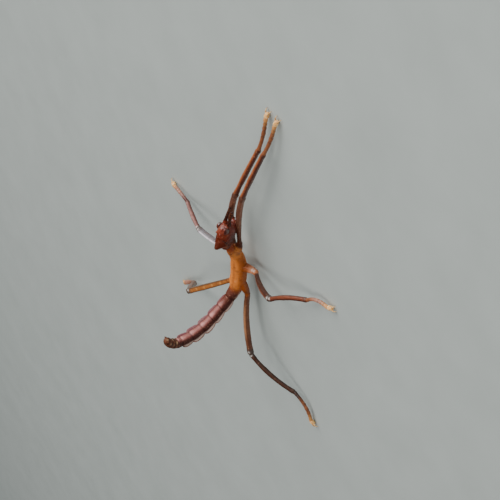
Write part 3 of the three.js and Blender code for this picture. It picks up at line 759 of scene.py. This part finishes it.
def joints_of(leg):
    sizes = PAIRS[pair_of(leg)]
    thigh = np.array(leg["thigh"]) + HIPS
    knee = step(thigh, sizes["femur"], leg["headings"][0], leg["knee"])
    ankle = step(knee, sizes["tibia"], leg["headings"][1], leg["ankle"])
    toe = step(ankle, sizes["tarsus"], leg["headings"][2], TARSUS_END_HEIGHT)
    sole = step(toe, FOOT["length"], leg["headings"][2], FOOT["toe_height"])
    return np.array(leg["hip"]) + HIPS, thigh, knee, ankle, toe, sole


def angular(angle, places):
    """A cross section with raised edges along it."""
    return 1 + EDGE_HEIGHT * np.cos(RAISED_EDGES * (angle + math.pi / 4))


def tapered(piece, line, rows, thickness):
    """The radius along a leg piece: a table of shares of its thickness, with round ends."""
    before, past, blunt = LEG_ENDS[piece]
    return lambda places: (table(rows, places / line.length)[0] * thickness
                           * round_ends(places, -before, line.length + past, blunt))


def tucked(leg):
    """How far a femur's slim base lies off the middle of its solid."""
    return np.array(TUCKS.get(leg["name"], (0, 0, 0)))


def look_of(leg, piece):
    """The name of the paint of one piece of a leg."""
    return LEG_LOOKS[leg["name"]][LEG_PIECES.index(piece)]


def by_share(paint, leg, length):
    """A leg piece's paint, which is read by the share of its length."""
    return lambda places, x, z, width: paint(leg, places / length, x, z, width)


def painted_highlight_side(leg):
    """Which side of a leg's pieces gets the painted highlights and glints: right (1) or left (-1) of their
    own line.
    """
    return 1 if leg["name"] in ("middle_left", "hind_left") else -1


def coxa_paint(leg, share, x, z, width):
    """The body's colour at the hip and the coxa's own beyond; the middle legs' have two pale glints."""
    glints = sum(near(place, wide, share) for place, wide in COXA_GLINTS["spots"])
    glints = glints * near(COXA_GLINTS["out"] * painted_highlight_side(leg), 0.08, x) * rise(-0.05, 0.05, z)
    return layered(
        COLOUR[look_of(leg, "hip")],
        (look_of(leg, "coxa"), rise(0.35, 0.65, share)),
        ("glint", 0.9 * (pair_of(leg) == "middle") * glints),
    )


def coxa(body, leg, joints):
    hip, thigh = joints[0], joints[1] + tucked(leg)
    toward = unit(joints[2] - joints[1])
    line = Line(bezier(hip, thigh - toward * COXA_BEND, thigh + toward * 0.1))
    radius = tapered("coxa", line, COXA_GIRTH, COXA_RADIUS)
    paint = by_share(coxa_paint, leg, np.linalg.norm(joints[1] - joints[0]))
    body.sweep(line, even(radius), heading_of(leg["headings"][0] + 90), sides=24, paint=paint)


def knee_glint(leg, piece, share, x, z):
    """The layer of a grey-white glint on the knee's upper side, which the fore legs don't have."""
    pair = pair_of(leg)
    away = (share - KNEE_GLINTS[piece]) * PAIRS[pair][piece]
    from_spot = (away / 0.08) ** 2 + ((x - KNEE_GLINTS["out"] * painted_highlight_side(leg)) / 0.08) ** 2
    return "glint", 0.95 * (pair != "fore") * np.exp(-from_spot) * rise(-0.03, 0.08, z)


def flecks(share, beat, shift):
    """1 at a leg piece's flecks and 0 between them, unevenly spaced along it."""
    return rise(0.1, 0.9, np.sin(share * FLECKS * 2 * math.pi) * np.sin(share * FLECKS * beat + shift))


def femur_paint(leg, share, x, z, width):
    """The colour of the coxa at its base, with edges of another colour, and dark at the knee."""
    pair, main = pair_of(leg), look_of(leg, "femur")
    fore = pair == "fore"
    base_end, edges_from = (0.6, 0.5) if fore else (0.1, 0.1)
    knee, knee_strength = KNEES[pair][:2]
    edge = rise(*FEMUR_EDGES[pair], np.abs(x) / width) * rise(0, edges_from, share)
    layers = [
        (main, rise(0.02, base_end, share)),
        # on the fore legs the paler edge paint is strong on the left side and faint on the right: a painted
        # highlight
        (main + "_edge", edge * np.where((x < 0) | (not fore), 0.85, 0.2)),
    ]
    if main == "ochre":
        # pale flecks along the top middle: partly real flecks, partly painted glints
        layers.append(("ochre_fleck", 0.7 * flecks(share, 3.1, 1) * near(0.02, 0.1, x) * rise(0, 0.1, z)))
    if main == "umber":
        layers.append(("umber_edge", 0.8 * (rise(0.6, 0.8, share) + 1 - rise(0.12, 0.3, share))))
    layers.append((knee, knee_strength * rise(0.88, 0.95, share)))
    return layered(COLOUR[look_of(leg, "coxa")], *layers, knee_glint(leg, "femur", share, x, z))


def femur(body, leg, joints, sizes):
    right = heading_of(leg["headings"][0] + 90)
    line = bowed(joints[1], joints[2], right, leg["bow"])
    share = line.marks / line.length
    line = Line(line.points + tucked(leg) * (1 - rise(0.0, TUCK_END, share))[:, None])
    base = sizes["base"]
    rows = ((0, base), (0.1, base), (0.3, (1 + base) / 2), (0.6, 1), (0.88, 0.96), (0.94, 1.06), (1, 1))
    radius = tapered("femur", line, rows, sizes["femur_radius"])
    body.sweep(line, even(radius), right, sides=28, section=angular,
               paint=by_share(femur_paint, leg, sizes["femur"]))
    teeth(body, line, right, radius, count=7, start=0.3, end=0.85)


def teeth(body, line, right, radius, count, start, end):
    """Tiny teeth in two rows under a leg piece."""
    for share in np.linspace(start, end, count):
        place = np.array([share * line.length])
        across = square_to(line.along(place), right)[0]
        over = np.cross(across, line.along(place)[0])
        for side in (-1, 1):
            direction = unit(-over + side * across)
            root = line.at(place)[0] + direction * radius(place)[0] * TEETH["sunk"]
            stud(body, root, direction, TEETH["radius"], TEETH["height"])


def tibia_paint(leg, share, x, z, width):
    """One colour with a second one on its top and highlight side, mostly paler as a painted highlight,
    painted shade on the other side, dark flecks along both edges, and dark ends.
    """
    pair, main, side = pair_of(leg), look_of(leg, "tibia"), painted_highlight_side(leg)
    knee, _, knee_from, ankle_strength = KNEES[pair]
    edge = rise(0.35, 0.8, np.abs(x) / width)
    return layered(
        COLOUR[knee],
        (main, rise(knee_from, 0.07, share)),
        # painted highlight on the top and on the highlight side
        (main + "_edge", 0.9 * rise(0.45, 0.95, (z + side * x) / (1.4 * width))),
        # painted shade on the other side
        ("knee", 0.45 * edge * (side * x < 0)),
        ("knee", 0.4 * flecks(share, 3.3, 2) * edge),
        knee_glint(leg, "tibia", share, x, z),
        ("knee", ankle_strength * near(0.97, 0.03, share)),
    )


def tibia(body, leg, joints, sizes):
    right = heading_of(leg["headings"][1] + 90)
    line = bowed(joints[2], joints[3], right, leg["shin_bow"])
    radius = tapered("tibia", line, TIBIA_GIRTH, sizes["tibia_radius"] * leg.get("stout", 1))
    body.sweep(line, even(radius), right, sides=24, section=angular,
               paint=by_share(tibia_paint, leg, sizes["tibia"]))
    teeth(body, line, right, radius, count=8, start=0.15, end=0.9)


def toe_joints(share, width):
    """1 at the joints of a tarsus and 0 between them."""
    return np.max([near(end, width, share) for end in TARSOMERE_ENDS], axis=0)


def tarsus_paint(leg, share, x, z, width):
    """Orange-brown, darker at the joints and paler towards the foot."""
    return layered(
        COLOUR[look_of(leg, "ankle")],
        (look_of(leg, "tarsus"), rise(0.1, 0.6, share)),
        ("toe_end", 0.85 * rise(0.7, 1.0, share)),
        ("knee", 0.4 * toe_joints(share, 0.02)),
    )


def tarsus(body, leg, joints, sizes):
    right = heading_of(leg["headings"][2] + 90)
    line = bowed(joints[3], joints[4], right, leg["toe_bow"])
    outer = tapered("tarsus", line, TARSUS_GIRTH, TARSUS_RADIUS * leg.get("stout", 1))

    def radius(places):
        return outer(places) * (1 - 0.2 * toe_joints(places / line.length, 0.022))

    body.sweep(line, even(radius), right, sides=20, paint=by_share(tarsus_paint, leg, sizes["tarsus"]))


def leg_skin(body, leg):
    sizes = PAIRS[pair_of(leg)]
    joints = joints_of(leg)
    coxa(body, leg, joints)
    femur(body, leg, joints, sizes)
    tibia(body, leg, joints, sizes)
    tarsus(body, leg, joints, sizes)


# ---------- One skin from all the forms ----------

def melt(body):
    """Joins the overlapping forms into one closed, even mesh. Works in millimetres."""
    lump = new_object("lump", np.vstack(body.points), body.faces, scale=1.0)
    remesh = lump.modifiers.new("Remesh", "REMESH")
    remesh.mode = "VOXEL"
    remesh.voxel_size = VOXEL
    soften = lump.modifiers.new("Smooth", "SMOOTH")
    soften.factor = 0.5
    soften.iterations = SMOOTHING
    result = lump.evaluated_get(bpy.context.evaluated_depsgraph_get()).to_mesh()
    points = np.empty(len(result.vertices) * 3, np.float32)
    result.vertices.foreach_get("co", points)
    normals = np.empty(len(result.vertices) * 3, np.float32)
    result.vertices.foreach_get("normal", normals)
    faces = [list(polygon.vertices) for polygon in result.polygons]
    lump.to_mesh_clear()
    bpy.data.objects.remove(lump)
    return points.reshape(-1, 3).astype(float), normals.reshape(-1, 3).astype(float), faces


def roughen(points, normals):
    """Raises the fine grains and shallow wrinkles of the hard skin."""
    raised = [sum(height * noise.noise(Vector(point * grain)) for grain, height in RELIEF)
              for point in points]
    return points + normals * np.array(raised)[:, None]


def paint_skin(body, points):
    """Each corner's colour and dullness, read from the form whose surface is nearest to it."""
    centres = np.vstack([ring[0] for ring in body.rings])
    reach = np.concatenate([ring[5] for ring in body.rings])
    owner = np.concatenate([np.full(len(ring[0]), row) for row, ring in enumerate(body.rings)])
    local = np.concatenate([np.arange(len(ring[0])) for ring in body.rings])
    nearest = np.empty(len(points), int)
    squares = (centres ** 2).sum(1)
    for start in range(0, len(points), CHUNK):
        chunk = points[start:start + CHUNK]
        apart = np.sqrt(np.maximum((chunk ** 2).sum(1)[:, None] + squares - 2 * chunk @ centres.T, 0))
        nearest[start:start + CHUNK] = np.argmin(apart - reach, axis=1)
    colours = np.zeros((len(points), 4))
    for row, (middle, across, over, along, places, _, width, paint, dull) in enumerate(body.rings):
        mine = np.nonzero(owner[nearest] == row)[0]
        if not len(mine):
            continue
        ring = local[nearest[mine]]
        offset = points[mine] - middle[ring]
        x = (offset * across[ring]).sum(1)
        z = (offset * over[ring]).sum(1)
        place = places[ring] + (offset * along[ring]).sum(1)
        colours[mine, :3] = paint(place, x, z, width[ring])
        colours[mine, 3] = dull
    return colours


def soften_colours(colours, faces, rounds):
    """Lets each colour run a little into its neighbours."""
    edges = set()
    for face in faces:
        for first, second in zip(face, face[1:] + face[:1]):
            edges.add((min(first, second), max(first, second)))
    edges = np.array(list(edges))
    ends = np.concatenate([edges[:, 0], edges[:, 1]])
    others = np.concatenate([edges[:, 1], edges[:, 0]])
    share = np.bincount(ends, minlength=len(colours))
    for _ in range(rounds):
        sums = np.stack([np.bincount(ends, part[others], len(colours)) for part in colours.T], axis=1)
        colours = (1 - COLOUR_RUN) * colours + COLOUR_RUN * sums / share[:, None]
    return colours


def store_colour(thing, name, colours):
    layer = thing.data.color_attributes.new(name, "FLOAT_COLOR", "POINT")
    layer.data.foreach_set("color", colours.ravel())


# ---------- Materials ----------

class Nodes:
    """A material's node tree, with short calls to add and join nodes."""

    def __init__(self, name):
        self.material = bpy.data.materials.new(name)
        self.material.use_nodes = True
        self.tree = self.material.node_tree
        self.surface = self.tree.nodes["Principled BSDF"]

    def add(self, kind, **values):
        node = self.tree.nodes.new(kind)
        for name, value in values.items():
            if hasattr(node, name):
                setattr(node, name, value)
            else:
                node.inputs[name.replace("_", " ")].default_value = value
        return node

    def join(self, output, target):
        self.tree.links.new(output, target)

    def set(self, **values):
        for name, value in values.items():
            self.surface.inputs[name.replace("_", " ")].default_value = value

    def feed(self, output, socket):
        """Joins an output to one of the surface's own inputs."""
        self.join(output, self.surface.inputs[socket])

    def pattern(self, kind, size, output, **values):
        """A pattern whose grain is about `size` millimetres."""
        place = self.add("ShaderNodeTexCoord")
        pattern = self.add(kind, Scale=1 / (size * METRES), **values)
        self.join(place.outputs["Object"], pattern.inputs["Vector"])
        return pattern.outputs[output]

    def noise(self, size, detail=3.0):
        return self.pattern("ShaderNodeTexNoise", size, "Fac", Detail=detail, Roughness=0.55)

    def cells(self, size):
        """Distance from the middles of cells."""
        return self.pattern("ShaderNodeTexVoronoi", size, "Distance")

    def ramp(self, value, low, high, start=0.0, end=1.0):
        """Maps a value from low..high to start..end, clamped."""
        node = self.add("ShaderNodeMapRange", From_Min=low, From_Max=high, To_Min=start, To_Max=end)
        self.join(value, node.inputs["Value"])
        return node.outputs["Result"]

    def plus(self, value, factor, other):
        """A value times a factor, plus another value."""
        node = self.add("ShaderNodeMath", operation="MULTIPLY_ADD")
        node.inputs[1].default_value = factor
        self.join(value, node.inputs[0])
        self.join(other, node.inputs[2])
        return node.outputs[0]

    def mix(self, share, first, second):
        node = self.add("ShaderNodeMix", data_type="RGBA")
        for value, socket in ((share, node.inputs[0]), (first, node.inputs[6]), (second, node.inputs[7])):
            if isinstance(value, bpy.types.NodeSocket):
                self.join(value, socket)
            else:
                socket.default_value = value
        return node.outputs[2]

    def bump(self, height, strength, distance, normal=None):
        node = self.add("ShaderNodeBump", Strength=strength, Distance=distance * METRES)
        self.join(height, node.inputs["Height"])
        if normal is not None:
            self.join(normal, node.inputs["Normal"])
        return node.outputs["Normal"]


def skin_material():
    """Hard, glossy skin: painted colour, blotches, fine dark grains and a fine granular relief."""
    nodes = Nodes("hard_skin")
    hide = nodes.add("ShaderNodeAttribute", attribute_name="Hide").outputs
    blotches = nodes.ramp(nodes.noise(0.4, detail=4), 0.45, 0.7, 0.0, 0.35)
    colour = nodes.mix(blotches, hide["Color"], (0.05, 0.014, 0.008, 1))
    pale_flecks = nodes.ramp(nodes.noise(0.16, detail=4), 0.58, 0.74, 0.0, 0.4)
    colour = nodes.mix(pale_flecks, colour, (0.6, 0.3, 0.16, 1))
    grains = nodes.ramp(nodes.cells(0.12), 0.08, 0.3, 0.3, 0.0)
    nodes.feed(nodes.mix(grains, colour, (0.03, 0.01, 0.006, 1)), "Base Color")
    uneven = nodes.ramp(nodes.noise(0.3), 0.35, 0.65, 0.24, 0.38)
    nodes.feed(nodes.plus(hide["Alpha"], 0.24, uneven), "Roughness")
    fine = nodes.bump(nodes.noise(0.05, detail=4), 0.35, 0.012)
    nodes.feed(nodes.bump(nodes.cells(0.09), 0.3, 0.015, fine), "Normal")
    nodes.feed(nodes.ramp(hide["Alpha"], 0.2, 0.6, 0.3, 0.03), "Coat Weight")
    nodes.set(Coat_Roughness=0.14, Specular_IOR_Level=0.3)
    return nodes.material


def two_tone(name, tones, patch, grain, roughness, spread=(0.35, 0.65)):
    """A surface of two colours in patches, with an uneven roughness. Patch and grain are in millimetres."""
    nodes = Nodes(name)
    nodes.feed(nodes.mix(nodes.ramp(nodes.noise(patch), *spread), *tones), "Base Color")
    nodes.feed(nodes.ramp(nodes.noise(grain), 0.3, 0.7, *roughness), "Roughness")
    return nodes


def paints(*names):
    return [(*COLOUR[name], 1) for name in names]


def eye_material():
    """A dark, red-brown compound eye with fine facets."""
    tones = ((0.04, 0.01, 0.008, 1), (0.11, 0.026, 0.018, 1))
    nodes = two_tone("compound_eye", tones, 0.2, 0.1, (0.28, 0.4))
    nodes.feed(nodes.bump(nodes.cells(0.03), 0.4, 0.006), "Normal")
    nodes.set(Coat_Weight=1.0, Coat_IOR=1.65, Coat_Roughness=0.1)
    return nodes.material


def pad_material():
    """The soft, cream foot pad."""
    nodes = two_tone("foot_pad", paints("pad", "pad_dark"), 0.15, 0.06, (0.45, 0.6))
    nodes.feed(nodes.bump(nodes.cells(0.05), 0.3, 0.01), "Normal")
    nodes.set(Subsurface_Weight=0.15, Subsurface_Scale=0.1 * METRES)
    return nodes.material


def claw_material():
    """Amber claws that darken unevenly."""
    nodes = two_tone("amber_claw", paints("claw", "claw_dark"), 0.1, 0.05, (0.2, 0.34))
    nodes.feed(nodes.bump(nodes.noise(0.03), 0.2, 0.004), "Normal")
    return nodes.material


def floor_material():
    """A plain pale floor with a very faint grain."""
    tones = ((0.385, 0.415, 0.385, 1), (0.415, 0.445, 0.415, 1))
    return two_tone("pale_floor", tones, 6.0, 2.0, (0.55, 0.65), spread=(0.3, 0.7)).material


# ---------- Pieces ----------

FLESH = ("head", "mouth", "neck", "prothorax", "mesothorax", "metathorax", "antenna_right", "antenna_left")
LEG_FLESH = ("coxa", "femur", "tibia", "tarsus")


def make_skin():
    body = Body()
    trunk(body)
    head(body)
    for leg in LEGS:
        leg_skin(body, leg)
    points, normals, faces = melt(body)
    colours = soften_colours(paint_skin(body, points), faces, rounds=4)
    skin = new_object("skin", roughen(points, normals), faces)
    store_colour(skin, "Hide", colours)
    skin.data.materials.append(skin_material())
    abdomen = [f"abdomen_{number}" for number in range(2, 11)]
    legs = [f"{part}_{leg['name']}" for leg in LEGS for part in LEG_FLESH]
    dress(skin, "cuticle", *FLESH, *abdomen, *legs)


def dress(piece, slot, *nodes):
    """Puts a piece in the place of the solids that it stands for."""
    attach(piece, "root")
    if nodes:
        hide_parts(*nodes)


def make_eye(name, side, material, segments=64, rows=40):
    """An oval eye, a little smaller than its solid."""
    centre = head_point(EYE["along"], EYE["up"], side * EYE["out"])
    aside, ahead, over = EYE["radii"]
    points, faces = [centre + skull_over * over * EYE_FIT], []
    for row in range(1, rows):
        tilt = math.pi * row / rows
        for segment in range(segments):
            turn = 2 * math.pi * segment / segments
            offset = (head_right * math.sin(tilt) * math.cos(turn) * aside
                      + head_forward * math.sin(tilt) * math.sin(turn) * ahead
                      + skull_over * math.cos(tilt) * over)
            points.append(centre + offset * EYE_FIT)
    points.append(centre - skull_over * over * EYE_FIT)
    for segment in range(segments):
        following = (segment + 1) % segments
        faces.append([0, 1 + segment, 1 + following])
        for row in range(rows - 2):
            low, high = 1 + row * segments, 1 + (row + 1) * segments
            faces.append([low + segment, high + segment, high + following, low + following])
        bottom = 1 + (rows - 2) * segments
        faces.append([bottom + segment, len(points) - 1, bottom + following])
    eye = new_object(name, points, faces)
    eye.data.materials.append(material)
    dress(eye, "eye", name)


def make_pad(leg, material):
    """A foot's pad, which lies flat on the floor."""
    toe, sole = joints_of(leg)[4:]
    heading = leg["headings"][2]
    line = Line([toe + (sole - toe) * 0.03, sole - heading_of(heading) * 0.02])

    def radius(places):
        size = table(PAD_GIRTH, places / line.length)[0]
        return size * np.sqrt(np.clip((line.length - places) / PAD_TOE_RADIUS, 0.01, 1))

    form = Body()
    form.sweep(line, even(radius), heading_of(heading + 90), sides=36)
    points = form.points[0]
    points[:, 2] = np.maximum(points[:, 2], 0.0)
    pad = new_object(f"pad_{leg['name']}", points, form.faces)
    pad.data.materials.append(material)
    dress(pad, "foot", f"foot_{leg['name']}")


def make_claws(leg, material):
    """A foot's two hooked claws."""
    heading = leg["headings"][2]
    ahead, right = heading_of(heading), heading_of(heading + 90)
    form = Body()
    for side in (-1, 1):
        point, bends = joints_of(leg)[4], []
        for onward, out, height in CLAW:
            point = point + ahead * onward + right * side * out
            point[2] = height
            bends.append(point)
        hook = Line(bezier(*bends))

        def radius(places, length=hook.length):
            return CLAW_RADIUS * (1 - 0.8 * places / length) + CLAW_TIP_RADIUS

        form.sweep(hook, even(radius), right, sides=16)
    claws = new_object(f"claws_{leg['name']}", np.vstack(form.points), form.faces)
    claws.data.materials.append(material)
    dress(claws, "foot")


# ---------- Floor, light and camera ----------

FLOOR_HALF = 600.0  # half the floor's width
FLOOR_TILES = 8     # the floor's faces in each direction
CAMERA_AT = HIPS + np.array([62.323, 84.990, 43.569])
CAMERA_AIM = HIPS + np.array([1.915, 3.580, 1.5])
CAMERA_ROLL = math.radians(-118.03)
FIELD_OF_VIEW = math.radians(21.37)


def make_floor():
    steps = np.linspace(-FLOOR_HALF, FLOOR_HALF, FLOOR_TILES + 1)
    points = [(x, y, 0.0) for y in steps for x in steps]
    corners_in_row = FLOOR_TILES + 1
    starts = [row * corners_in_row + column for row in range(FLOOR_TILES) for column in range(FLOOR_TILES)]
    faces = [[start, start + 1, start + 1 + corners_in_row, start + corners_in_row] for start in starts]
    floor = new_object("floor", points, faces)
    floor.data.materials.append(floor_material())


def make_light(name, toward, distance, size, power, colour=(1, 1, 1), mirrored=False):
    """A soft square light, shining at the insect from a direction. Distance and size are in metres.
    Only a `mirrored` one shows in the glossy skin."""
    data = bpy.data.lights.new(name, "AREA")
    data.size, data.energy, data.color = size, power, colour
    lamp = bpy.data.objects.new(name, data)
    direction = Vector(unit(toward))
    lamp.location = Vector(CAMERA_AIM * METRES) + direction * distance
    lamp.rotation_euler = direction.to_track_quat("Z", "Y").to_euler()
    lamp.visible_glossy = mirrored
    bpy.context.scene.collection.objects.link(lamp)


def make_world():
    world = bpy.data.worlds.new("studio")
    world.use_nodes = True
    back = world.node_tree.nodes["Background"]
    back.inputs["Color"].default_value = (0.86, 0.93, 1.0, 1)
    back.inputs["Strength"].default_value = 0.32
    world.cycles_visibility.glossy = False  # only the key light shows in the glossy skin
    bpy.context.scene.world = world


def make_camera():
    data = bpy.data.cameras.new("camera")
    data.angle = FIELD_OF_VIEW
    data.clip_start, data.clip_end = 0.002, 10
    camera = bpy.data.objects.new("camera", data)
    place, aim = Vector(CAMERA_AT * METRES), Vector(CAMERA_AIM * METRES)
    camera.location = place
    level = (aim - place).to_track_quat("-Z", "Y").to_matrix()
    camera.rotation_euler = (level @ Matrix.Rotation(CAMERA_ROLL, 3, "Z")).to_euler()
    bpy.context.scene.collection.objects.link(camera)
    bpy.context.scene.camera = camera


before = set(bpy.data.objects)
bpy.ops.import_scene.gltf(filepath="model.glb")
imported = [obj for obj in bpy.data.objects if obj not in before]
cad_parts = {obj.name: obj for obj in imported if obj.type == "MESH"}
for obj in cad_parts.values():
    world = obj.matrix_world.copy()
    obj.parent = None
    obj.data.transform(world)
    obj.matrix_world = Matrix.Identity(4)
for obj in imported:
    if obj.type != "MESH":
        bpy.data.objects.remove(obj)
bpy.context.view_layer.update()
make_skin()
eye_look = eye_material()
make_eye("eye_right", 1, eye_look)
make_eye("eye_left", -1, eye_look)
pad_look, claw_look = pad_material(), claw_material()
for each_leg in LEGS:
    make_pad(each_leg, pad_look)
    make_claws(each_leg, claw_look)
make_floor()
make_light("key", toward=(-0.5, 0.85, 0.5), distance=0.3, size=0.26, power=1.35, mirrored=True)
make_light("fill", toward=(0.9, 0.2, 0.6), distance=0.4, size=0.25, power=0.32, colour=(1.0, 0.97, 0.93))
make_light("top", toward=(0.1, -0.2, 1.0), distance=0.4, size=0.25, power=0.55)
make_world()
make_camera()
